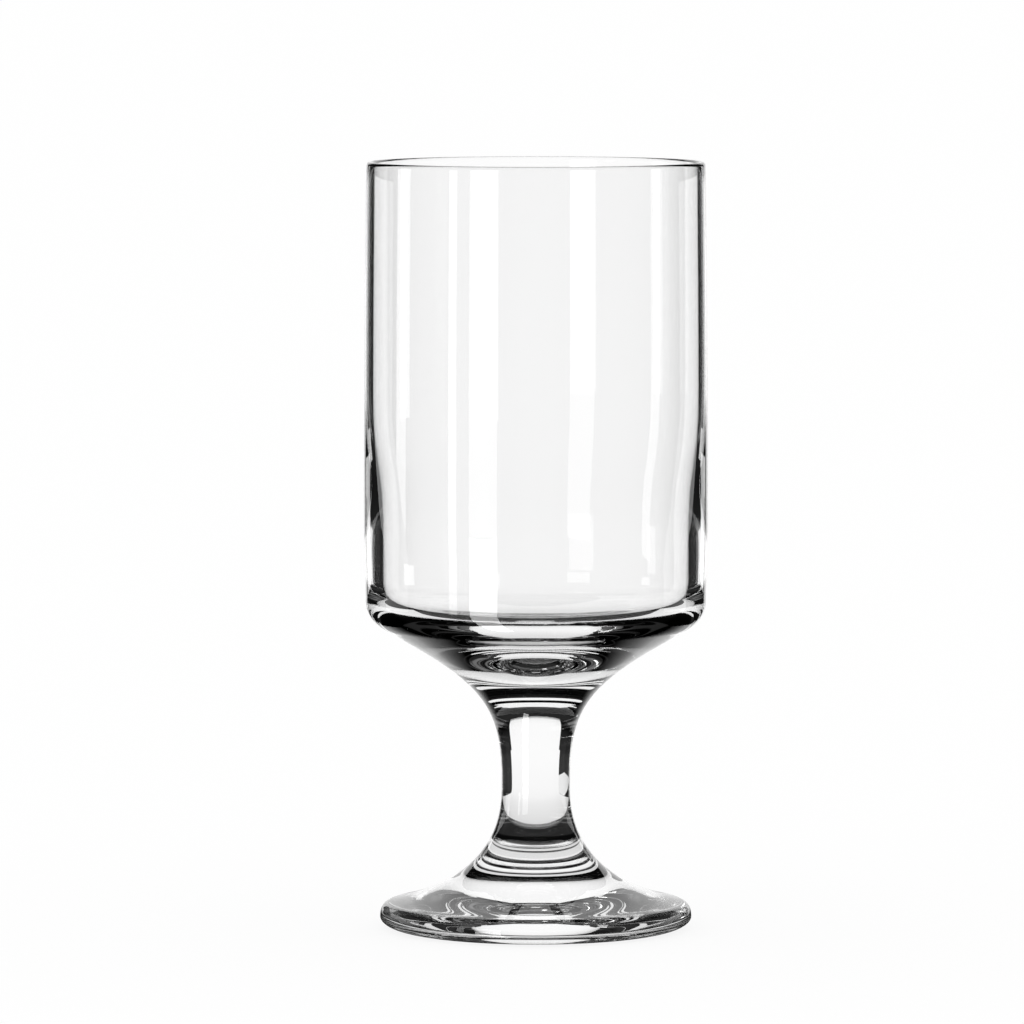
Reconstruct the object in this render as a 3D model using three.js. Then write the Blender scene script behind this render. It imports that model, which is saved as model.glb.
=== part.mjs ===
// A stemmed beverage glass in clear soda-lime glass, in millimetres, standing on z = 0 with +Z up.
// Three pieces are made apart and fused while hot: a blown bowl, a solid stem and a pressed foot.
// One outline runs up the outside of all three, and each piece takes its own stretch of it,
// so the pieces always meet with the same radius at the two fused joints.
import * as THREE from 'three';

// Bowl, outside
const GLASS_HEIGHT = 163;
const RIM_RADIUS = 35.85;
const BELLY_RADIUS = 36.45;
const BELLY_HEIGHT = 88;
const HEEL_WALL_RADIUS = 36.1;
const HEEL_HEIGHT = 65.85;
const HEEL_ROUNDING = 6.5;
const UNDERSIDE_SLOPE = THREE.MathUtils.degToRad(28);
const UNDERSIDE_HANDLE = 25;

// Bowl, inside: a thin wall that thickens towards a heavy solid base with a dished floor
const RIM_WALL = 1.55;
const MIDDLE_WALL = 1.98;
const MIDDLE_WALL_ABOVE_HEEL = 48.6;
const BASE_WALL = 3.7;
const BASE_WALL_ABOVE_HEEL = 9.6;
const FLOOR_TURN = 4.5;
const FLOOR_SHOULDER_INSET = 2.9;
const FLOOR_SHOULDER_ABOVE_HEEL = 2;
const FLOOR_SHOULDER_SLOPE = THREE.MathUtils.degToRad(28);
const FLOOR_SHOULDER_HANDLE_OUT = 2.8;
const FLOOR_SHOULDER_HANDLE_IN = 9;
const FLOOR_DISH = 9.4;
const FLOOR_DISH_HANDLE = 8;

// Stem
const WAIST_RADIUS = 7.25;
const WAIST_HEIGHT = 31;
const WAIST_HANDLE_UP = 16;
const WAIST_HANDLE_DOWN = 5.2;
const BOWL_JOINT_HEIGHT = 40;
const FOOT_JOINT_HEIGHT = 19.5;

// Foot
const FOOT_RADIUS = 33.1;
const FOOT_EDGE_HEIGHT = 2.6;
const FOOT_SHOULDER_RADIUS = 31;
const FOOT_SHOULDER_HEIGHT = 5.7;
const FOOT_SLOPE = THREE.MathUtils.degToRad(12.4);
const FOOT_HANDLE = 24.5;
const REST_RING_OUTER_RADIUS = 27;
const REST_RING_WIDTH = 1;
const HOLLOW_DEPTH = 2.2;
const HOLLOW_MIDDLE_HANDLE = 18.2;
const HOLLOW_RING_HANDLE = 3.9;

// Facets
const TURN_STEPS = 60;
const LONG_CURVE_STEPS = 12;
const WALL_STEPS = 5;
const ROUND_STEPS = 6;
const EDGE_STEPS = 5;

const at = (radius, height) => new THREE.Vector2(radius, height);

// Points along a curve; the first is left out where the curve goes on from an earlier one
const along = (curve, steps) => curve.getPoints(steps).slice(1);

const bezier = (start, startHandle, endHandle, end) =>
  new THREE.CubicBezierCurve(start, startHandle, endHandle, end);

// A curve that leaves and arrives upright, so that it runs on smoothly from wall to wall
function uprightBlend(start, end) {
  const middle = (start.y + end.y) / 2;
  return bezier(start, at(start.x, middle), at(end.x, middle), end);
}

// A round arc about a centre, from one angle to another, with zero pointing outwards
const arc = (centre, radius, from, to) =>
  new THREE.EllipseCurve(centre.x, centre.y, radius, radius, from, to, to < from);

// The flare: the foot's edge and upper face, sweeping in to the waist of the stem
const footEdge = at(FOOT_RADIUS, FOOT_EDGE_HEIGHT);
const footShoulder = at(FOOT_SHOULDER_RADIUS, FOOT_SHOULDER_HEIGHT);
const footEdgeCrown = at(
  FOOT_RADIUS,
  FOOT_SHOULDER_HEIGHT - (FOOT_RADIUS - FOOT_SHOULDER_RADIUS) * Math.tan(FOOT_SLOPE),
);
const upFootSlope = at(-Math.cos(FOOT_SLOPE), Math.sin(FOOT_SLOPE));
const waist = at(WAIST_RADIUS, WAIST_HEIGHT);
const footCurve = bezier(
  footShoulder,
  footShoulder.clone().addScaledVector(upFootSlope, FOOT_HANDLE),
  at(WAIST_RADIUS, WAIST_HEIGHT - WAIST_HANDLE_DOWN),
  waist,
);

// The bowl's underside: out from the waist to a rounded heel, then up the barrel wall
const heelCorner = at(HEEL_WALL_RADIUS, HEEL_HEIGHT);
const upUnderside = at(Math.cos(UNDERSIDE_SLOPE), Math.sin(UNDERSIDE_SLOPE));
const heelTurn = Math.PI / 2 - UNDERSIDE_SLOPE;
const heelTangent = HEEL_ROUNDING * Math.tan(heelTurn / 2);
const heelStart = heelCorner.clone().addScaledVector(upUnderside, -heelTangent);
const heelTop = at(HEEL_WALL_RADIUS, HEEL_HEIGHT + heelTangent);
const heelCentre = at(HEEL_WALL_RADIUS - HEEL_ROUNDING, heelTop.y);
const undersideCurve = bezier(
  waist,
  at(WAIST_RADIUS, WAIST_HEIGHT + WAIST_HANDLE_UP),
  heelStart.clone().addScaledVector(upUnderside, -UNDERSIDE_HANDLE),
  heelStart,
);

// The fire-polished rim: the wall's own edge, melted round
const lipRadius = RIM_WALL / 2;
const lipCentre = at(RIM_RADIUS - lipRadius, GLASS_HEIGHT - lipRadius);
const wallTop = at(RIM_RADIUS, lipCentre.y);
const boreTop = at(RIM_RADIUS - RIM_WALL, lipCentre.y);
const belly = at(BELLY_RADIUS, BELLY_HEIGHT);
const wallCurve = new THREE.QuadraticBezierCurve(
  belly,
  at(BELLY_RADIUS, (BELLY_HEIGHT + wallTop.y) / 2),
  wallTop,
);

const outsideOutline = [
  footEdge,
  ...along(new THREE.QuadraticBezierCurve(footEdge, footEdgeCrown, footShoulder), EDGE_STEPS),
  ...along(footCurve, LONG_CURVE_STEPS),
  ...along(undersideCurve, LONG_CURVE_STEPS),
  ...along(arc(heelCentre, HEEL_ROUNDING, -heelTurn, 0), ROUND_STEPS),
  ...along(uprightBlend(heelTop, belly), WALL_STEPS),
  ...along(wallCurve, WALL_STEPS),
];

const rimOutline = along(arc(lipCentre, lipRadius, 0, Math.PI), ROUND_STEPS);

// The inside of the bowl, from under the rim down to the middle of the dished floor
const middleBore = at(BELLY_RADIUS - MIDDLE_WALL, HEEL_HEIGHT + MIDDLE_WALL_ABOVE_HEEL);
const baseBore = at(HEEL_WALL_RADIUS - BASE_WALL, HEEL_HEIGHT + BASE_WALL_ABOVE_HEEL);
const floorShoulder = at(
  baseBore.x - FLOOR_SHOULDER_INSET,
  HEEL_HEIGHT + FLOOR_SHOULDER_ABOVE_HEEL,
);
const floorMiddle = at(0, floorShoulder.y - FLOOR_DISH);
const upFloor = at(Math.cos(FLOOR_SHOULDER_SLOPE), Math.sin(FLOOR_SHOULDER_SLOPE));
const floorTurnCurve = bezier(
  baseBore,
  at(baseBore.x, baseBore.y - FLOOR_TURN),
  floorShoulder.clone().addScaledVector(upFloor, FLOOR_SHOULDER_HANDLE_OUT),
  floorShoulder,
);
const floorCurve = bezier(
  floorShoulder,
  floorShoulder.clone().addScaledVector(upFloor, -FLOOR_SHOULDER_HANDLE_IN),
  at(FLOOR_DISH_HANDLE, floorMiddle.y),
  floorMiddle,
);

const insideOutline = [
  ...along(uprightBlend(boreTop, middleBore), WALL_STEPS),
  ...along(uprightBlend(middleBore, baseBore), ROUND_STEPS),
  ...along(floorTurnCurve, ROUND_STEPS),
  ...along(floorCurve, ROUND_STEPS),
];

// The underside of the foot: a shallow hollow, a flat ring to stand on and a rounded lower edge
const restRingInner = at(REST_RING_OUTER_RADIUS - REST_RING_WIDTH, 0);
const restRingOuter = at(REST_RING_OUTER_RADIUS, 0);
const hollowMiddle = at(0, HOLLOW_DEPTH);
const hollowCurve = bezier(
  hollowMiddle,
  at(HOLLOW_MIDDLE_HANDLE, HOLLOW_DEPTH),
  at(restRingInner.x - HOLLOW_RING_HANDLE, 0),
  restRingInner,
);
const lowerEdgeCurve = new THREE.EllipseCurve(
  REST_RING_OUTER_RADIUS,
  FOOT_EDGE_HEIGHT,
  FOOT_RADIUS - REST_RING_OUTER_RADIUS,
  FOOT_EDGE_HEIGHT,
  -Math.PI / 2,
  0,
);

const undersideOutline = [
  hollowMiddle,
  ...along(hollowCurve, ROUND_STEPS),
  restRingOuter,
  ...along(lowerEdgeCurve, ROUND_STEPS),
];

// The point where the outside outline passes a height
function outlineAt(height) {
  const above = outsideOutline.findIndex((point) => point.y >= height);
  const low = outsideOutline[above - 1];
  const high = outsideOutline[above];
  return low.clone().lerp(high, (height - low.y) / (high.y - low.y));
}

const outlineBetween = (low, high) =>
  outsideOutline.filter((point) => point.y > low && point.y < high);

const footJoint = outlineAt(FOOT_JOINT_HEIGHT);
const bowlJoint = outlineAt(BOWL_JOINT_HEIGHT);

const footProfile = [
  ...undersideOutline,
  ...outlineBetween(FOOT_EDGE_HEIGHT, FOOT_JOINT_HEIGHT),
  footJoint,
  at(0, FOOT_JOINT_HEIGHT),
];

const stemProfile = [
  at(0, FOOT_JOINT_HEIGHT),
  footJoint,
  ...outlineBetween(FOOT_JOINT_HEIGHT, BOWL_JOINT_HEIGHT),
  bowlJoint,
  at(0, BOWL_JOINT_HEIGHT),
];

const bowlProfile = [
  at(0, BOWL_JOINT_HEIGHT),
  bowlJoint,
  ...outlineBetween(BOWL_JOINT_HEIGHT, wallTop.y),
  wallTop,
  ...rimOutline,
  ...insideOutline,
];

// Clear glass: nearly colourless, fire-polished to a full gloss
const clearGlass = () =>
  new THREE.MeshStandardMaterial({
    color: 0xf2f4f4,
    roughness: 0.03,
    metalness: 0,
    transparent: true,
    opacity: 0.35,
  });

// A piece turned about the glass's upright axis from its half profile
function turned(name, profile) {
  const geometry = new THREE.LatheGeometry(profile, TURN_STEPS);
  geometry.rotateX(Math.PI / 2);
  const mesh = new THREE.Mesh(geometry, clearGlass());
  mesh.name = name;
  return mesh;
}

const glass = new THREE.Group();
glass.add(turned('foot', footProfile));
glass.add(turned('stem', stemProfile));
glass.add(turned('bowl', bowlProfile));

export default glass;
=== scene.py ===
import math

import bmesh
import bpy
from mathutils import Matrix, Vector
from mathutils.geometry import interpolate_bezier


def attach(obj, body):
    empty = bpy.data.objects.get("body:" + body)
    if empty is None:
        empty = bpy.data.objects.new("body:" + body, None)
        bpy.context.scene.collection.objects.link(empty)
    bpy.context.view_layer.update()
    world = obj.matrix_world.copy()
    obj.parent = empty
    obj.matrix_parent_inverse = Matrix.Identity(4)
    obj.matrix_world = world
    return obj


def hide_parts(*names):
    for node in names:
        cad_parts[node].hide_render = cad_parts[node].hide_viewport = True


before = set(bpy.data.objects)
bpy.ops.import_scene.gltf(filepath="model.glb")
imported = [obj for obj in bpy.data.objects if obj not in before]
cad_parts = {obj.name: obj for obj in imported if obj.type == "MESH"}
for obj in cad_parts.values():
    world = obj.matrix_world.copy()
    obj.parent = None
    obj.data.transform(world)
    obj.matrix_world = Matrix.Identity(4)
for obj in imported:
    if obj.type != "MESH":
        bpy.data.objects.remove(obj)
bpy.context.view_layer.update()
scene = bpy.context.scene


# The foot: a gob of clear soda-lime glass pressed in a mould to a round flared foot. It has a soft
# rounded edge, a flat ring that it stands on and a shallow hollow inside the ring, and it is fused
# to the stem while both are hot, so no seam is left between them.
MM = 0.001
FOOT_RADIUS = 33.1
FOOT_EDGE_HEIGHT = 2.6
FOOT_SHOULDER_RADIUS = 31.0
FOOT_SHOULDER_HEIGHT = 5.7
FOOT_SLOPE = math.radians(12.4)
FOOT_HANDLE = 24.5
FOOT_JOINT_HEIGHT = 19.5
REST_RING_OUTER_RADIUS = 27.0
REST_RING_INNER_RADIUS = 26.0
HOLLOW_DEPTH = 2.2
HOLLOW_MIDDLE_HANDLE = 18.2
HOLLOW_RING_HANDLE = 3.9
WAIST_RADIUS = 7.25
WAIST_HEIGHT = 31.0
WAIST_HANDLE_DOWN = 5.2
TURN_STEPS = 256
FLARE_STEPS = 110
HOLLOW_STEPS = 60
LOWER_EDGE_STEPS = 24
UPPER_EDGE_STEPS = 18
MERGE_DISTANCE = 0.0001
JOINT_TOLERANCE = 0.001
JOINT_SUPPORT = 0.08
CORNER_PULL = 2 / 3
GLASS_TINT = "FEFEFE"
GLASS_IOR = 1.52
FULLY_CLEAR = 1.0
PURE_WHITE = "FFFFFF"
SCUFF_GREY = "E9EBEB"
SCUFF_ROUGHNESS = 0.32
SCUFF_HEIGHT = 0.25
SCUFF_GRAIN = 0.35
SCUFF_GRAIN_DETAIL = 3.0
SCUFF_GRAIN_FROM = 0.42
SCUFF_GRAIN_FULL = 0.62
CHILL_RIPPLE = 7.0
CHILL_RIPPLE_DEPTH = 0.01
RIPPLE_DETAIL = 1.0
SRGB_STRAIGHT_END = 0.04045
SRGB_STRAIGHT_SLOPE = 12.92
SRGB_OFFSET = 0.055
SRGB_POWER = 2.4


def point(radius, height):
    """A point of a half outline, from millimetres."""
    return Vector((radius * MM, 0.0, height * MM))


def swept(start, first_handle, second_handle, end, steps):
    """Points along a cubic curve, without its first one."""
    return interpolate_bezier(start, first_handle, second_handle, end, steps + 1)[1:]


def pulled(start, corner, end, steps):
    """Points along a curve pulled towards one corner, without its first one."""
    first_handle = start.lerp(corner, CORNER_PULL)
    second_handle = end.lerp(corner, CORNER_PULL)
    return swept(start, first_handle, second_handle, end, steps)


def rounded(centre, reach, first_angle, last_angle, steps):
    """Points along a round or oval arc, without its first one. Angle zero points outwards."""
    turn = (last_angle - first_angle) / steps
    angles = [first_angle + turn * (step + 1) for step in range(steps)]
    return [centre + Vector((reach.x * math.cos(a), 0.0, reach.z * math.sin(a))) for a in angles]


def parted(outline, height):
    """An outline cut at a height: the points below it, the point on it and the points above it.
    A point close to the cut on either side keeps the shading straight across the fused joint."""
    below = [p for p in outline if p.z < height * MM]
    above = [p for p in outline if p.z > height * MM]
    share = (height * MM - below[-1].z) / (above[0].z - below[-1].z)
    cut = below[-1].lerp(above[0], share)
    below.append(cut.lerp(below[-1], JOINT_SUPPORT))
    above.insert(0, cut.lerp(above[0], JOINT_SUPPORT))
    return below, cut, above


def turned(name, outline, finishes, fused_heights):
    """A closed piece turned about the upright axis. Faces on a fused joint get the second finish."""
    shape = bmesh.new()
    corners = [shape.verts.new(p) for p in outline]
    lines = [shape.edges.new(pair) for pair in zip(corners, corners[1:])]
    bmesh.ops.spin(
        shape, geom=corners + lines, cent=(0, 0, 0), axis=(0, 0, 1), dvec=(0, 0, 0),
        angle=math.tau, steps=TURN_STEPS, use_merge=True, use_duplicate=False,
    )
    bmesh.ops.remove_doubles(shape, verts=shape.verts, dist=MERGE_DISTANCE * MM)
    bmesh.ops.recalc_face_normals(shape, faces=shape.faces)
    for face in shape.faces:
        face.smooth = True
        heights = [corner.co.z for corner in face.verts]
        fused = [
            h for h in fused_heights
            if max(abs(z - h * MM) for z in heights) < JOINT_TOLERANCE * MM
        ]
        face.material_index = 1 if fused else 0
    for edge in shape.edges:
        edge.smooth = len({face.material_index for face in edge.link_faces}) == 1
    mesh = bpy.data.meshes.new(name)
    shape.to_mesh(mesh)
    shape.free()
    for finish in finishes:
        mesh.materials.append(finish)
    piece = bpy.data.objects.new(name, mesh)
    scene.collection.objects.link(piece)
    return piece


def linear(code):
    """An sRGB hex colour as linear red, green, blue and alpha."""
    colour = []
    for start in (0, 2, 4):
        part = int(code[start:start + 2], 16) / 255
        if part <= SRGB_STRAIGHT_END:
            colour.append(part / SRGB_STRAIGHT_SLOPE)
        else:
            colour.append(((part + SRGB_OFFSET) / (1 + SRGB_OFFSET)) ** SRGB_POWER)
    return colour + [1.0]


def new_finish(name):
    """A material with an empty node tree."""
    finish = bpy.data.materials.new(name)
    finish.use_nodes = True
    finish.node_tree.nodes.clear()
    return finish


def add_node(tree, kind, inputs, **settings):
    """Adds one node: settings go on it, and each input gets a value or another node's socket."""
    node = tree.nodes.new(kind)
    for name, value in settings.items():
        setattr(node, name, value)
    for name, value in inputs.items():
        if isinstance(value, bpy.types.NodeSocket):
            tree.links.new(value, node.inputs[name])
        else:
            node.inputs[name].default_value = value
    return node


# Inside the fused joints there is only glass, so light passes their faces as if none were there.
fused_joint = new_finish("fused_joint")
tree = fused_joint.node_tree
clear_pass = add_node(tree, "ShaderNodeBsdfTransparent", {"Color": linear(PURE_WHITE)})
add_node(tree, "ShaderNodeOutputMaterial", {"Surface": clear_pass.outputs[0]})

# Pressed soda-lime glass: fire-polished clear, with the faint ripples that a cool mould leaves, and
# the fine grey scuffs of table tops on the ring that it stands on.
pressed_glass = new_finish("pressed_soda_lime_glass")
tree = pressed_glass.node_tree
place = add_node(tree, "ShaderNodeTexCoord", {})
height = add_node(tree, "ShaderNodeSeparateXYZ", {"Vector": place.outputs["Object"]})
near_table = add_node(tree, "ShaderNodeMapRange", {
    "Value": height.outputs["Z"], "From Min": 0.0, "From Max": SCUFF_HEIGHT * MM,
    "To Min": 1.0, "To Max": 0.0,
}, interpolation_type="SMOOTHSTEP")
grit = add_node(tree, "ShaderNodeTexNoise", {
    "Vector": place.outputs["Object"], "Scale": 1 / (SCUFF_GRAIN * MM),
    "Detail": SCUFF_GRAIN_DETAIL,
})
grit_patches = add_node(tree, "ShaderNodeMapRange", {
    "Value": grit.outputs["Fac"], "From Min": SCUFF_GRAIN_FROM, "From Max": SCUFF_GRAIN_FULL,
})
scuffs = add_node(tree, "ShaderNodeMath", {
    0: near_table.outputs["Result"], 1: grit_patches.outputs["Result"],
}, operation="MULTIPLY")
scuff_roughness = add_node(tree, "ShaderNodeMath", {
    0: scuffs.outputs[0], 1: SCUFF_ROUGHNESS,
}, operation="MULTIPLY")
foot_colour = add_node(tree, "ShaderNodeMix", {
    "Factor": scuffs.outputs[0], "A": linear(GLASS_TINT), "B": linear(SCUFF_GREY),
}, data_type="RGBA")
ripple = add_node(tree, "ShaderNodeTexNoise", {
    "Vector": place.outputs["Object"], "Scale": 1 / (CHILL_RIPPLE * MM), "Detail": RIPPLE_DETAIL,
})
ripple_bump = add_node(tree, "ShaderNodeBump", {
    "Height": ripple.outputs["Fac"], "Strength": 1.0, "Distance": CHILL_RIPPLE_DEPTH * MM,
})
surface = add_node(tree, "ShaderNodeBsdfPrincipled", {
    "Base Color": foot_colour.outputs["Result"], "Roughness": scuff_roughness.outputs[0],
    "IOR": GLASS_IOR, "Transmission Weight": FULLY_CLEAR, "Normal": ripple_bump.outputs["Normal"],
})
add_node(tree, "ShaderNodeOutputMaterial", {"Surface": surface.outputs["BSDF"]})

foot_edge = point(FOOT_RADIUS, FOOT_EDGE_HEIGHT)
foot_shoulder = point(FOOT_SHOULDER_RADIUS, FOOT_SHOULDER_HEIGHT)
edge_crown = point(
    FOOT_RADIUS,
    FOOT_SHOULDER_HEIGHT - (FOOT_RADIUS - FOOT_SHOULDER_RADIUS) * math.tan(FOOT_SLOPE),
)
waist = point(WAIST_RADIUS, WAIST_HEIGHT)
flare = [foot_shoulder] + swept(
    foot_shoulder,
    foot_shoulder + point(-FOOT_HANDLE * math.cos(FOOT_SLOPE), FOOT_HANDLE * math.sin(FOOT_SLOPE)),
    point(WAIST_RADIUS, WAIST_HEIGHT - WAIST_HANDLE_DOWN),
    waist,
    FLARE_STEPS,
)
flare_below, foot_joint, flare_above = parted(flare, FOOT_JOINT_HEIGHT)
hollow_middle = point(0, HOLLOW_DEPTH)
hollow = swept(
    hollow_middle,
    point(HOLLOW_MIDDLE_HANDLE, HOLLOW_DEPTH),
    point(REST_RING_INNER_RADIUS - HOLLOW_RING_HANDLE, 0),
    point(REST_RING_INNER_RADIUS, 0),
    HOLLOW_STEPS,
)
lower_edge = rounded(
    point(REST_RING_OUTER_RADIUS, FOOT_EDGE_HEIGHT),
    point(FOOT_RADIUS - REST_RING_OUTER_RADIUS, FOOT_EDGE_HEIGHT),
    -math.pi / 2, 0, LOWER_EDGE_STEPS,
)
foot_outline = [
    hollow_middle, *hollow, point(REST_RING_OUTER_RADIUS, 0),
    *lower_edge, *pulled(foot_edge, edge_crown, foot_shoulder, UPPER_EDGE_STEPS),
    *flare_below[1:], foot_joint, point(0, FOOT_JOINT_HEIGHT),
]
foot = turned("pressed_foot", foot_outline, [pressed_glass, fused_joint], [FOOT_JOINT_HEIGHT])
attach(foot, "root")
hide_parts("foot")


# The stem: solid soda-lime glass drawn out to a short waisted stem between bowl and foot. Both of
# its ends are fused, so the outline runs on from the foot's flare and into the bowl's underside.
WAIST_HANDLE_UP = 16.0
UNDERSIDE_SLOPE = math.radians(28)
UNDERSIDE_HANDLE = 25.0
UNDERSIDE_STEPS = 120
HEEL_WALL_RADIUS = 36.1
HEEL_HEIGHT = 65.85
HEEL_ROUNDING = 6.5
BOWL_JOINT_HEIGHT = 40.0
DRAW_LINE_WIDTH = 1.6
DRAW_LINE_LENGTH = 40.0
DRAW_LINE_DEPTH = 0.0015
POLISHED = 0.0

heel_turn = math.pi / 2 - UNDERSIDE_SLOPE
heel_tangent = HEEL_ROUNDING * math.tan(heel_turn / 2)
up_underside = point(math.cos(UNDERSIDE_SLOPE), math.sin(UNDERSIDE_SLOPE))
heel_start = point(HEEL_WALL_RADIUS, HEEL_HEIGHT) - up_underside * heel_tangent
underside = [waist] + swept(
    waist,
    point(WAIST_RADIUS, WAIST_HEIGHT + WAIST_HANDLE_UP),
    heel_start - up_underside * UNDERSIDE_HANDLE,
    heel_start,
    UNDERSIDE_STEPS,
)
underside_below, bowl_joint, underside_above = parted(underside, BOWL_JOINT_HEIGHT)

# Drawn soda-lime glass: clear and glossy, with very faint lines along the way it was pulled.
drawn_glass = new_finish("drawn_soda_lime_glass")
tree = drawn_glass.node_tree
place = add_node(tree, "ShaderNodeTexCoord", {})
lines_across = 1 / (DRAW_LINE_WIDTH * MM)
lines_along = 1 / (DRAW_LINE_LENGTH * MM)
along_stem = add_node(tree, "ShaderNodeMapping", {
    "Vector": place.outputs["Object"], "Scale": (lines_across, lines_across, lines_along),
})
draw_lines = add_node(tree, "ShaderNodeTexNoise", {"Vector": along_stem.outputs[0], "Scale": 1.0})
draw_bump = add_node(tree, "ShaderNodeBump", {
    "Height": draw_lines.outputs["Fac"], "Strength": 1.0, "Distance": DRAW_LINE_DEPTH * MM,
})
surface = add_node(tree, "ShaderNodeBsdfPrincipled", {
    "Base Color": linear(GLASS_TINT), "Roughness": POLISHED, "IOR": GLASS_IOR,
    "Transmission Weight": FULLY_CLEAR, "Normal": draw_bump.outputs["Normal"],
})
add_node(tree, "ShaderNodeOutputMaterial", {"Surface": surface.outputs["BSDF"]})

stem_outline = [
    point(0, FOOT_JOINT_HEIGHT), foot_joint, *flare_above,
    *underside_below[1:], bowl_joint, point(0, BOWL_JOINT_HEIGHT),
]
stem = turned(
    "drawn_stem", stem_outline, [drawn_glass, fused_joint], [FOOT_JOINT_HEIGHT, BOWL_JOINT_HEIGHT]
)
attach(stem, "root")
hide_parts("stem")


# The bowl: clear soda-lime glass blown in a mould to a barrel-sided bowl with a heavy solid base.
# Its wall thickens towards the base and turns into a dished floor, its rim is melted round, and it
# is fused to the stem.
GLASS_HEIGHT = 163.0
RIM_RADIUS = 35.85
RIM_WALL = 1.55
BELLY_RADIUS = 36.45
BELLY_HEIGHT = 88.0
MIDDLE_WALL = 1.98
MIDDLE_WALL_ABOVE_HEEL = 48.6
BASE_WALL = 3.7
BASE_WALL_ABOVE_HEEL = 9.6
FLOOR_TURN = 4.5
FLOOR_SHOULDER_INSET = 2.9
FLOOR_SHOULDER_ABOVE_HEEL = 2.0
FLOOR_SHOULDER_SLOPE = math.radians(28)
FLOOR_SHOULDER_HANDLE_OUT = 2.8
FLOOR_SHOULDER_HANDLE_IN = 9.0
FLOOR_DISH = 9.4
FLOOR_DISH_HANDLE = 8.0
HEEL_STEPS = 26
LOW_WALL_STEPS = 16
HIGH_WALL_STEPS = 24
RIM_STEPS = 28
HIGH_BORE_STEPS = 16
LOW_BORE_STEPS = 24
FLOOR_TURN_STEPS = 36
FLOOR_STEPS = 60
BLOW_RIPPLE = 24.0
BLOW_RIPPLE_DEPTH = 0.01


def upright_blend(start, end, steps):
    """Points along a curve that leaves and arrives upright, without its first one."""
    middle = (start.z + end.z) / 2
    first_handle = Vector((start.x, 0.0, middle))
    second_handle = Vector((end.x, 0.0, middle))
    return swept(start, first_handle, second_handle, end, steps)


# Blown soda-lime glass: clear, fire-polished inside and out, with long soft waves from the blowing.
blown_glass = new_finish("blown_soda_lime_glass")
tree = blown_glass.node_tree
place = add_node(tree, "ShaderNodeTexCoord", {})
waves = add_node(tree, "ShaderNodeTexNoise", {
    "Vector": place.outputs["Object"], "Scale": 1 / (BLOW_RIPPLE * MM), "Detail": RIPPLE_DETAIL,
})
wave_bump = add_node(tree, "ShaderNodeBump", {
    "Height": waves.outputs["Fac"], "Strength": 1.0, "Distance": BLOW_RIPPLE_DEPTH * MM,
})
surface = add_node(tree, "ShaderNodeBsdfPrincipled", {
    "Base Color": linear(GLASS_TINT), "Roughness": POLISHED, "IOR": GLASS_IOR,
    "Transmission Weight": FULLY_CLEAR, "Normal": wave_bump.outputs["Normal"],
})
add_node(tree, "ShaderNodeOutputMaterial", {"Surface": surface.outputs["BSDF"]})

heel_top = point(HEEL_WALL_RADIUS, HEEL_HEIGHT + heel_tangent)
heel_centre = heel_top - point(HEEL_ROUNDING, 0)
belly = point(BELLY_RADIUS, BELLY_HEIGHT)
lip_radius = RIM_WALL / 2
lip_centre = point(RIM_RADIUS - lip_radius, GLASS_HEIGHT - lip_radius)
wall_top = lip_centre + point(lip_radius, 0)
wall_corner = Vector((belly.x, 0.0, (belly.z + wall_top.z) / 2))
bore_top = lip_centre - point(lip_radius, 0)
middle_bore = point(BELLY_RADIUS - MIDDLE_WALL, HEEL_HEIGHT + MIDDLE_WALL_ABOVE_HEEL)
base_bore = point(HEEL_WALL_RADIUS - BASE_WALL, HEEL_HEIGHT + BASE_WALL_ABOVE_HEEL)
floor_shoulder = point(
    HEEL_WALL_RADIUS - BASE_WALL - FLOOR_SHOULDER_INSET, HEEL_HEIGHT + FLOOR_SHOULDER_ABOVE_HEEL
)
up_floor = point(math.cos(FLOOR_SHOULDER_SLOPE), math.sin(FLOOR_SHOULDER_SLOPE))
floor_middle = point(0, HEEL_HEIGHT + FLOOR_SHOULDER_ABOVE_HEEL - FLOOR_DISH)

bowl_outline = [
    point(0, BOWL_JOINT_HEIGHT), bowl_joint, *underside_above,
    *rounded(heel_centre, point(HEEL_ROUNDING, HEEL_ROUNDING), -heel_turn, 0, HEEL_STEPS),
    *upright_blend(heel_top, belly, LOW_WALL_STEPS),
    *pulled(belly, wall_corner, wall_top, HIGH_WALL_STEPS),
    *rounded(lip_centre, point(lip_radius, lip_radius), 0, math.pi, RIM_STEPS),
    *upright_blend(bore_top, middle_bore, HIGH_BORE_STEPS),
    *upright_blend(middle_bore, base_bore, LOW_BORE_STEPS),
    *swept(
        base_bore, base_bore - point(0, FLOOR_TURN),
        floor_shoulder + up_floor * FLOOR_SHOULDER_HANDLE_OUT, floor_shoulder, FLOOR_TURN_STEPS,
    ),
    *swept(
        floor_shoulder, floor_shoulder - up_floor * FLOOR_SHOULDER_HANDLE_IN,
        floor_middle + point(FLOOR_DISH_HANDLE, 0), floor_middle, FLOOR_STEPS,
    ),
]
bowl = turned("blown_bowl", bowl_outline, [blown_glass, fused_joint], [BOWL_JOINT_HEIGHT])
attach(bowl, "root")
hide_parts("bowl")


# The table top: plain white, lit evenly, with the soft shadow of the glass. The glass bends and
# mirrors the studio boards instead of it, so that its edges stay drawn against a dark room.
FLOOR_REACH = 40000.0
FLOOR_GLOW = 1.0
FLOOR_SHADE = 0.12

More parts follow.
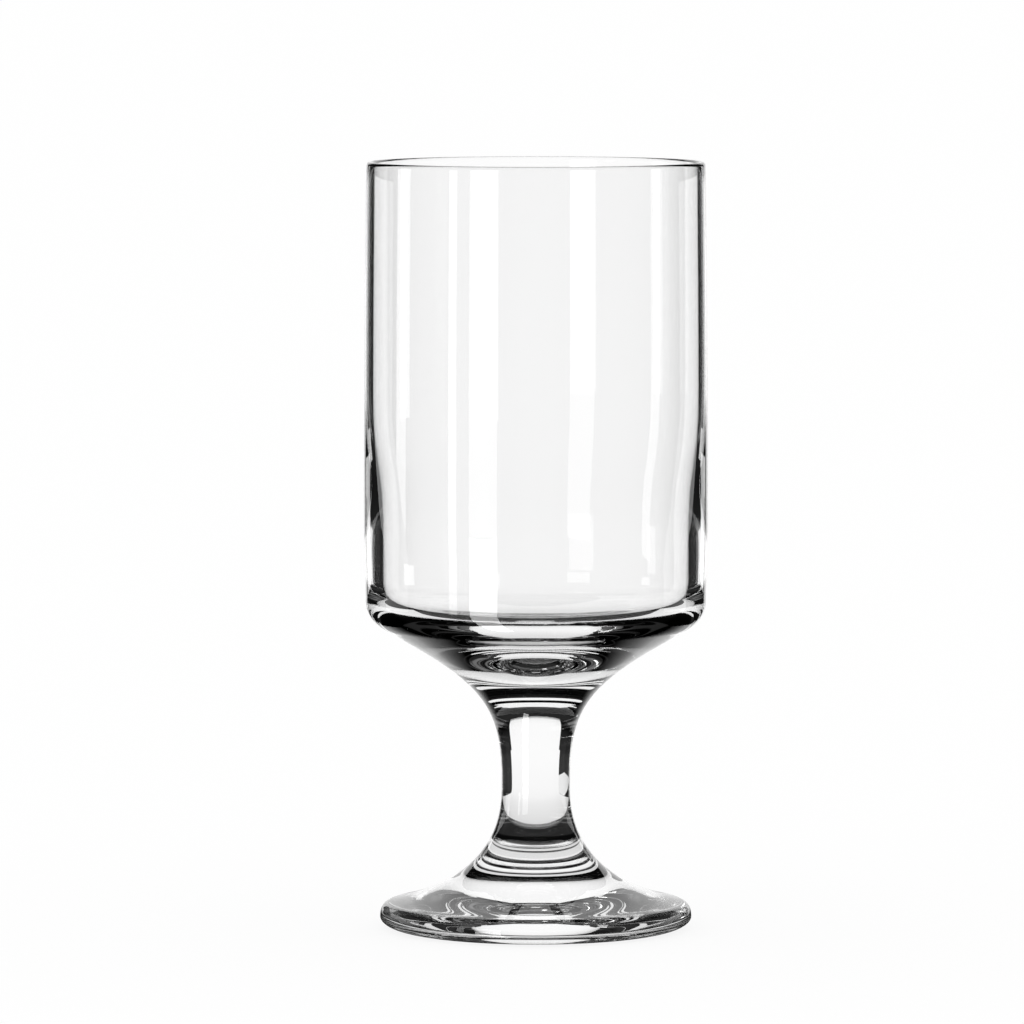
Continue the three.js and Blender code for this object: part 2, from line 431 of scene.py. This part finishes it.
floor_mesh = bpy.data.meshes.new("table_top")
shape = bmesh.new()
bmesh.ops.create_grid(shape, x_segments=1, y_segments=1, size=FLOOR_REACH * MM)
shape.to_mesh(floor_mesh)
shape.free()
floor = bpy.data.objects.new("table_top", floor_mesh)
scene.collection.objects.link(floor)
floor.visible_glossy = False
floor.visible_transmission = False
white_top = new_finish("white_table_top")
tree = white_top.node_tree
glow = add_node(tree, "ShaderNodeEmission", {"Color": linear(PURE_WHITE), "Strength": FLOOR_GLOW})
matt = add_node(tree, "ShaderNodeBsdfDiffuse", {"Color": linear(PURE_WHITE)})
top_mix = add_node(tree, "ShaderNodeMixShader", {
    0: FLOOR_SHADE, 1: glow.outputs[0], 2: matt.outputs[0],
})
add_node(tree, "ShaderNodeOutputMaterial", {"Surface": top_mix.outputs[0]})
floor_mesh.materials.append(white_top)


# The white sweep: a strip of white board that lies behind the foot, bends up and stands close
# behind the glass. Clear glass shows by it: white in the middle, and dark edges where the strip
# ends. It is narrow behind the stem, where only looks that no face has mirrored see its full width.
SWEEP_LEFT = -93.0
SWEEP_RIGHT = 101.0
SWEEP_LOW_LEFT = -74.0
SWEEP_LOW_RIGHT = 82.0
SWEEP_HIGH_LEFT = -86.0
SWEEP_HIGH_RIGHT = 94.0
SWEEP_FRONT = 110.0
SWEEP_BACK = 160.0
SWEEP_LIFT = -0.3
SWEEP_BEND = 14.0
SWEEP_BEND_STEPS = 8
SWEEP_STEP = 48.0
SWEEP_TOP = 235.0
SWEEP_FRONT_SHADED_LIGHT = 0.91
SWEEP_LIGHT = 1.06
SWEEP_BRIGHT_FROM = 200.0
BOWL_RAY_DEPTH = 3.5
BOWL_RAY_SPREAD = 0.6
FIRST_MIRRORING_END = 1.5


def studio_board(name, line, across, lights, seen_by="all rays"):
    """A glowing board for the glass to bend and mirror: a line of points, pulled across. Its light
    goes from one level to another between two places, counted backwards and upwards together.
    Straight rays are those that no face has mirrored, bowl rays those that have met three or four
    faces, and the first mirroring is the one on the first face met."""
    shape = bmesh.new()
    corners = [shape.verts.new(p) for p in line]
    edges = [shape.edges.new(pair) for pair in zip(corners, corners[1:])]
    pulled_out = bmesh.ops.extrude_edge_only(shape, edges=edges)["geom"]
    new_corners = [part for part in pulled_out if isinstance(part, bmesh.types.BMVert)]
    bmesh.ops.translate(shape, verts=new_corners, vec=across)
    mesh = bpy.data.meshes.new(name)
    shape.to_mesh(mesh)
    shape.free()
    first_light, last_light, light_from, light_to = lights
    white = new_finish(name + "_white")
    tree = white.node_tree
    place = add_node(tree, "ShaderNodeTexCoord", {})
    parts = add_node(tree, "ShaderNodeSeparateXYZ", {"Vector": place.outputs["Object"]})
    way = add_node(tree, "ShaderNodeMath", {
        0: parts.outputs["Y"], 1: parts.outputs["Z"],
    }, operation="ADD")
    light = add_node(tree, "ShaderNodeMapRange", {
        "Value": way.outputs[0], "From Min": light_from * MM, "From Max": light_to * MM,
        "To Min": first_light, "To Max": last_light,
    })
    lit = add_node(tree, "ShaderNodeEmission", {
        "Color": linear(PURE_WHITE), "Strength": light.outputs["Result"],
    })
    if seen_by != "all rays":
        clear = add_node(tree, "ShaderNodeBsdfTransparent", {"Color": linear(PURE_WHITE)})
        ray = add_node(tree, "ShaderNodeLightPath", {})
        unseen = ray.outputs["Glossy Depth"]
        if seen_by == "bowl rays":
            in_bowl = add_node(tree, "ShaderNodeMath", {
                0: ray.outputs["Ray Depth"], 1: BOWL_RAY_DEPTH, 2: BOWL_RAY_SPREAD,
            }, operation="COMPARE")
            outside_bowl = add_node(tree, "ShaderNodeMath", {
                0: 1.0, 1: in_bowl.outputs[0],
            }, operation="SUBTRACT")
            unseen = outside_bowl.outputs[0]
        if seen_by == "first mirroring":
            later = add_node(tree, "ShaderNodeMath", {
                0: ray.outputs["Ray Depth"], 1: FIRST_MIRRORING_END,
            }, operation="GREATER_THAN")
            unseen = later.outputs[0]
        lit = add_node(tree, "ShaderNodeMixShader", {
            0: unseen, 1: lit.outputs[0], 2: clear.outputs[0],
        })
    add_node(tree, "ShaderNodeOutputMaterial", {"Surface": lit.outputs[0]})
    mesh.materials.append(white)
    board = bpy.data.objects.new(name, mesh)
    board.visible_camera = False
    board.visible_diffuse = False
    board.visible_shadow = False
    scene.collection.objects.link(board)
    return board


def place_mm(x, y, z):
    """A place in the studio, from millimetres."""
    return Vector((x, y, z)) * MM


def standing_board(name, first_edge, last_edge, bottom, top, lights, seen_by="all rays"):
    """A board that stands in line with the back of the sweep."""
    line = [place_mm(first_edge, SWEEP_BACK, bottom), place_mm(first_edge, SWEEP_BACK, top)]
    return studio_board(name, line, place_mm(last_edge - first_edge, 0, 0), lights, seen_by)


# Its light fades from the bend to its front edge: painted shade, darker towards the glass.
sweep_lights = (SWEEP_FRONT_SHADED_LIGHT, SWEEP_LIGHT, SWEEP_FRONT, SWEEP_BRIGHT_FROM)
bend_top = SWEEP_LIFT + SWEEP_BEND
bend_start = place_mm(SWEEP_LEFT, SWEEP_BACK - SWEEP_BEND, SWEEP_LIFT)
bend_end = place_mm(SWEEP_LEFT, SWEEP_BACK, bend_top)
bend_corner = place_mm(SWEEP_LEFT, SWEEP_BACK, SWEEP_LIFT)
sweep_line = [
    place_mm(SWEEP_LEFT, SWEEP_FRONT, SWEEP_LIFT), bend_start,
    *pulled(bend_start, bend_corner, bend_end, SWEEP_BEND_STEPS),
]
studio_board("white_sweep", sweep_line, place_mm(SWEEP_RIGHT - SWEEP_LEFT, 0, 0), sweep_lights)
for name, left_edge, right_edge, bottom, top, seen_by in (
    ("low_standing_sweep", SWEEP_LOW_LEFT, SWEEP_LOW_RIGHT, bend_top, SWEEP_STEP, "all rays"),
    ("low_left_side", SWEEP_LEFT, SWEEP_LOW_LEFT, bend_top, SWEEP_STEP, "straight rays"),
    ("low_right_side", SWEEP_LOW_RIGHT, SWEEP_RIGHT, bend_top, SWEEP_STEP, "straight rays"),
    ("high_standing_sweep", SWEEP_HIGH_LEFT, SWEEP_HIGH_RIGHT, SWEEP_STEP, SWEEP_TOP, "all rays"),
):
    standing_board(name, left_edge, right_edge, bottom, top, sweep_lights, seen_by)


# The wings: behind the bowl's heavy base the sweep is wider, for looks through the bowl alone.
# They leave a light line outside the dark edges of the base.
WING_LEFT = -110.0
WING_RIGHT = 118.0
WING_BOTTOM = 52.0
WING_TOP = 79.0


def even(light):
    """The same light all over a board."""
    return light, light, 0, 1


for name, inner_edge, outer_edge in (
    ("left_wing", SWEEP_HIGH_LEFT, WING_LEFT),
    ("right_wing", SWEEP_HIGH_RIGHT, WING_RIGHT),
):
    standing_board(
        name, inner_edge, outer_edge, WING_BOTTOM, WING_TOP, even(SWEEP_LIGHT), "bowl rays"
    )


# The fill boards: white boards far out at both sides, each bent twice on its way up. The bowl
# mirrors their near edges just inside its own dark edges.
FILL_LIGHT = 1.2
FILL_NEAR_EDGE = ((543, 283, -20), (525, 310, 30), (400, 445, 75), (397, 449, 150))
FILL_OUTWARDS = 170.0
FILL_FORWARDS = 240.0

for side, name in ((-1, "left_fill_board"), (1, "right_fill_board")):
    near_edge = [place_mm(side * x, y, z) for x, y, z in FILL_NEAR_EDGE]
    outwards = place_mm(side * FILL_OUTWARDS, -FILL_FORWARDS, 0)
    fill = studio_board(name, near_edge, outwards, even(FILL_LIGHT))
    fill.visible_transmission = False


# The glints: low boards next to the sweep, which the thickening wall mirrors as a light line along
# its outside. Only the first mirroring shows them, so the base stays clear of them.
GLINT_LEFT_FROM = -95.0
GLINT_LEFT_TO = -141.0
GLINT_RIGHT_FROM = 103.0
GLINT_RIGHT_TO = 149.0
GLINT_BOTTOM = 56.0
GLINT_TOP = 88.5
GLINT_LIGHT = 1.5

for name, inner_edge, outer_edge in (
    ("left_glint", GLINT_LEFT_FROM, GLINT_LEFT_TO),
    ("right_glint", GLINT_RIGHT_FROM, GLINT_RIGHT_TO),
):
    glint = standing_board(
        name, inner_edge, outer_edge, GLINT_BOTTOM, GLINT_TOP, even(GLINT_LIGHT), "first mirroring"
    )
    glint.visible_transmission = False


# The sweep's near end: white board that lies on from the sweep to the edge of the foot, seen only
# through the glass, dimmer towards the foot as painted shade. For what the glass mirrors, a second
# board fades to black towards the foot: the glass's shadow on the table, painted on.
SWEEP_NEAR = 32.0
SWEEP_NEAR_SHADED_LIGHT = 0.79
MIRRORED_FROM = 45.0


def lying_board(name, left, right, near, far, lights, seen_by="all rays"):
    """A board that lies level with the front of the sweep."""
    line = [place_mm(left, near, SWEEP_LIFT), place_mm(left, far, SWEEP_LIFT)]
    return studio_board(name, line, place_mm(right - left, 0, 0), lights, seen_by)


near_shade_lights = (SWEEP_NEAR_SHADED_LIGHT, SWEEP_FRONT_SHADED_LIGHT, SWEEP_NEAR, SWEEP_FRONT)
near_end = lying_board(
    "near_sweep", SWEEP_LEFT, SWEEP_RIGHT, SWEEP_NEAR, SWEEP_FRONT, near_shade_lights
)
near_end.visible_glossy = False
mirrored_shadow_lights = (0.0, SWEEP_FRONT_SHADED_LIGHT, MIRRORED_FROM, SWEEP_FRONT)
near_mirrored = lying_board(
    "near_sweep_mirrored", SWEEP_LEFT, SWEEP_RIGHT, MIRRORED_FROM, SWEEP_FRONT, mirrored_shadow_lights
)
near_mirrored.visible_transmission = False


# The shaded table: a dim board with painted shade, for the part of the table in the foot's own
# shade, which the glass of the foot spreads over its upper face.
SHADE_REACH = 60.0
SHADE_FRONT_LIGHT = 0.05
SHADE_BACK_LIGHT = 0.12

lying_board(
    "shaded_table", -SHADE_REACH, SHADE_REACH, -SHADE_REACH, SWEEP_NEAR,
    (SHADE_FRONT_LIGHT, SHADE_BACK_LIGHT, -SHADE_REACH, SWEEP_NEAR), "straight rays",
)


# Boards further out: two that lie, at the left and at the front right, and one that stands at the
# left. They do the sweep's work for someone who walks round the glass.
LYING_LIGHT = 0.9
LEFT_LYING_LEFT = -330.0
LEFT_LYING_RIGHT = -95.0
LEFT_LYING_NEAR = 100.0
LEFT_LYING_FAR = 330.0
RIGHT_LYING_LEFT = 90.0
RIGHT_LYING_RIGHT = 520.0
RIGHT_LYING_NEAR = -520.0
RIGHT_LYING_FAR = -90.0
LEFT_STANDING_LIGHT = 0.95
LEFT_STANDING_ASIDE = -450.0
LEFT_STANDING_REACH = 160.0
LEFT_STANDING_BOTTOM = 20.0
LEFT_STANDING_TOP = 220.0

for name, left, right, near, far in (
    ("left_lying_board", LEFT_LYING_LEFT, LEFT_LYING_RIGHT, LEFT_LYING_NEAR, LEFT_LYING_FAR),
    ("right_lying_board", RIGHT_LYING_LEFT, RIGHT_LYING_RIGHT, RIGHT_LYING_NEAR, RIGHT_LYING_FAR),
):
    lying_board(name, left, right, near, far, even(LYING_LIGHT), "straight rays")
standing_line = [
    place_mm(LEFT_STANDING_ASIDE, -LEFT_STANDING_REACH, LEFT_STANDING_BOTTOM),
    place_mm(LEFT_STANDING_ASIDE, -LEFT_STANDING_REACH, LEFT_STANDING_TOP),
]
left_board = studio_board(
    "left_standing_board", standing_line, place_mm(0, 2 * LEFT_STANDING_REACH, 0),
    even(LEFT_STANDING_LIGHT), "straight rays",
)
left_board.visible_glossy = False


# The room round the glass: black flags beside the sweep and a dim grey front. The camera, the
# table top and a straight look through the bowl's two walls see plain white.
FLAG_END = 62.0
FLAG_END_BLEND = 14.0
FLAG_LIGHT = 0.02
FRONT_LIGHT = 0.2
LEVEL_BAND = 10.0
LEVEL_BAND_END = 24.0
DIM_SHARE = 0.1
BOWL_CROSSINGS = 4.0
CROSSING_RISE = 8.0
COUNT_TOLERANCE = 0.5

studio = bpy.data.worlds.new("studio")
scene.world = studio
studio.use_nodes = True
tree = studio.node_tree
tree.nodes.clear()
look = add_node(tree, "ShaderNodeTexCoord", {})
way = add_node(tree, "ShaderNodeSeparateXYZ", {"Vector": look.outputs["Generated"]})
bearing = add_node(tree, "ShaderNodeMath", {
    0: way.outputs["X"], 1: way.outputs["Y"],
}, operation="ARCTAN2")
bearing_size = add_node(tree, "ShaderNodeMath", {0: bearing.outputs[0]}, operation="ABSOLUTE")
rise = add_node(tree, "ShaderNodeMath", {0: way.outputs["Z"]}, operation="ARCSINE")
rise_size = add_node(tree, "ShaderNodeMath", {0: rise.outputs[0]}, operation="ABSOLUTE")
front = add_node(tree, "ShaderNodeMapRange", {
    "Value": bearing_size.outputs[0],
    "From Min": math.radians(FLAG_END), "From Max": math.radians(FLAG_END + FLAG_END_BLEND),
    "To Min": FLAG_LIGHT, "To Max": FRONT_LIGHT,
}, interpolation_type="SMOOTHSTEP")
level = add_node(tree, "ShaderNodeMapRange", {
    "Value": rise_size.outputs[0],
    "From Min": math.radians(LEVEL_BAND), "From Max": math.radians(LEVEL_BAND_END),
    "To Min": 1.0, "To Max": DIM_SHARE,
}, interpolation_type="SMOOTHSTEP")
room = add_node(tree, "ShaderNodeMath", {
    0: front.outputs["Result"], 1: level.outputs["Result"],
}, operation="MULTIPLY")
ray = add_node(tree, "ShaderNodeLightPath", {})
plain_ray = add_node(tree, "ShaderNodeMath", {
    0: ray.outputs["Is Camera Ray"], 1: ray.outputs["Is Diffuse Ray"],
}, operation="MAXIMUM")
crossing = add_node(tree, "ShaderNodeMath", {
    0: ray.outputs["Transmission Depth"], 1: BOWL_CROSSINGS, 2: COUNT_TOLERANCE,
}, operation="COMPARE")
unmirrored = add_node(tree, "ShaderNodeMath", {
    0: ray.outputs["Glossy Depth"], 1: COUNT_TOLERANCE,
}, operation="LESS_THAN")
level_way = add_node(tree, "ShaderNodeMath", {
    0: rise.outputs[0], 1: math.radians(CROSSING_RISE),
}, operation="LESS_THAN")
clear_view = add_node(tree, "ShaderNodeMath", {
    0: crossing.outputs[0], 1: unmirrored.outputs[0],
}, operation="MULTIPLY")
clear_level_view = add_node(tree, "ShaderNodeMath", {
    0: clear_view.outputs[0], 1: level_way.outputs[0],
}, operation="MULTIPLY")
white_ray = add_node(tree, "ShaderNodeMath", {
    0: plain_ray.outputs[0], 1: clear_level_view.outputs[0],
}, operation="MAXIMUM")
light_level = add_node(tree, "ShaderNodeMath", {
    0: room.outputs[0], 1: white_ray.outputs[0],
}, operation="MAXIMUM")
sky = add_node(tree, "ShaderNodeBackground", {
    "Color": linear(PURE_WHITE), "Strength": light_level.outputs[0],
})
add_node(tree, "ShaderNodeOutputWorld", {"Surface": sky.outputs[0]})


# The softboxes: three tall lamps at the left, at bearings counted in degrees round from the camera.
# The bowl mirrors them as its tall white bars. The slim one shows in mirrorings only.
BOX_DISTANCE = 750.0
FRONT_BOX_FROM = 25.5
FRONT_BOX_TO = 44.5
FRONT_BOX_BOTTOM = 19.5
FRONT_BOX_TOP = 205.0
FRONT_BOX_LIGHT = 2.2
SLIM_BOX_FROM = 53.5
SLIM_BOX_TO = 59.5
SLIM_BOX_BOTTOM = -30.0
SLIM_BOX_TOP = 200.0
SLIM_BOX_LIGHT = 2.6
SIDE_BOX_FROM = 95.5
SIDE_BOX_TO = 105.5
SIDE_BOX_BOTTOM = 24.0
SIDE_BOX_TOP = 171.0
SIDE_BOX_LIGHT = 2.4

for name, first_bearing, last_bearing, bottom, top, light in (
    ("front_box", FRONT_BOX_FROM, FRONT_BOX_TO, FRONT_BOX_BOTTOM, FRONT_BOX_TOP, FRONT_BOX_LIGHT),
    ("slim_box", SLIM_BOX_FROM, SLIM_BOX_TO, SLIM_BOX_BOTTOM, SLIM_BOX_TOP, SLIM_BOX_LIGHT),
    ("side_box", SIDE_BOX_FROM, SIDE_BOX_TO, SIDE_BOX_BOTTOM, SIDE_BOX_TOP, SIDE_BOX_LIGHT),
):
    middle = math.radians((first_bearing + last_bearing) / 2)
    half_spread = math.radians((last_bearing - first_bearing) / 2)
    lamp = bpy.data.lights.new(name, "AREA")
    lamp.shape = "RECTANGLE"
    lamp.size = 2 * BOX_DISTANCE * MM * math.tan(half_spread)
    lamp.size_y = (top - bottom) * MM
    lamp.energy = light * math.pi * lamp.size * lamp.size_y
    box = bpy.data.objects.new(name, lamp)
    box.location = place_mm(
        -BOX_DISTANCE * math.sin(middle), -BOX_DISTANCE * math.cos(middle), (top + bottom) / 2
    )
    box.rotation_euler = (math.pi / 2, 0.0, -middle)
    box.visible_camera = False
    box.visible_transmission = name != "slim_box"
    scene.collection.objects.link(box)


# The bar's lower end: a board in line with the front box, from its lower edge down past the table,
# for the first mirroring only. It stands in for the box's image in a polished table, brighter than
# the box itself, and carries the widest white bar on down over the bowl's heel.
IMAGE_LIGHT = 7.0
IMAGE_BOTTOM = -1500.0


def box_edge(bearing, height):
    """A place on the ring of softboxes, from a bearing in degrees and a height in millimetres."""
    turn = math.radians(bearing)
    return place_mm(-BOX_DISTANCE * math.sin(turn), -BOX_DISTANCE * math.cos(turn), height)


image_line = [box_edge(FRONT_BOX_FROM, IMAGE_BOTTOM), box_edge(FRONT_BOX_FROM, FRONT_BOX_BOTTOM)]
image = studio_board(
    "front_box_image", image_line, box_edge(FRONT_BOX_TO, 0) - box_edge(FRONT_BOX_FROM, 0),
    even(IMAGE_LIGHT), "first mirroring",
)
image.visible_transmission = False


# The camera: a long lens a little above the rim, with the glass upright in a square frame. Light is
# followed through every face of the glass, but mirrored a few times only, which keeps the dark band
# of the base clean.
CAMERA_DISTANCE = 1692.25
CAMERA_HEIGHT = 217.66
CAMERA_AIM_HEIGHT = 88.725
CAMERA_ASIDE = -5.05
CAMERA_LENS = 281.4
CAMERA_SENSOR = 36.0
CAMERA_SIGHT = 100000.0
LIGHT_BOUNCES = 24
MIRROR_BOUNCES = 7

lens = bpy.data.cameras.new("camera")
lens.lens = CAMERA_LENS
lens.sensor_width = CAMERA_SENSOR
lens.clip_end = CAMERA_SIGHT * MM
camera = bpy.data.objects.new("camera", lens)
camera.location = place_mm(CAMERA_ASIDE, -CAMERA_DISTANCE, CAMERA_HEIGHT)
tilt = math.atan2(CAMERA_HEIGHT - CAMERA_AIM_HEIGHT, CAMERA_DISTANCE)
camera.rotation_euler = (math.pi / 2 - tilt, 0.0, 0.0)
scene.collection.objects.link(camera)
scene.camera = camera

scene.view_settings.view_transform = "Standard"
scene.cycles.max_bounces = LIGHT_BOUNCES
scene.cycles.transmission_bounces = LIGHT_BOUNCES
scene.cycles.glossy_bounces = MIRROR_BOUNCES
scene.cycles.transparent_max_bounces = LIGHT_BOUNCES
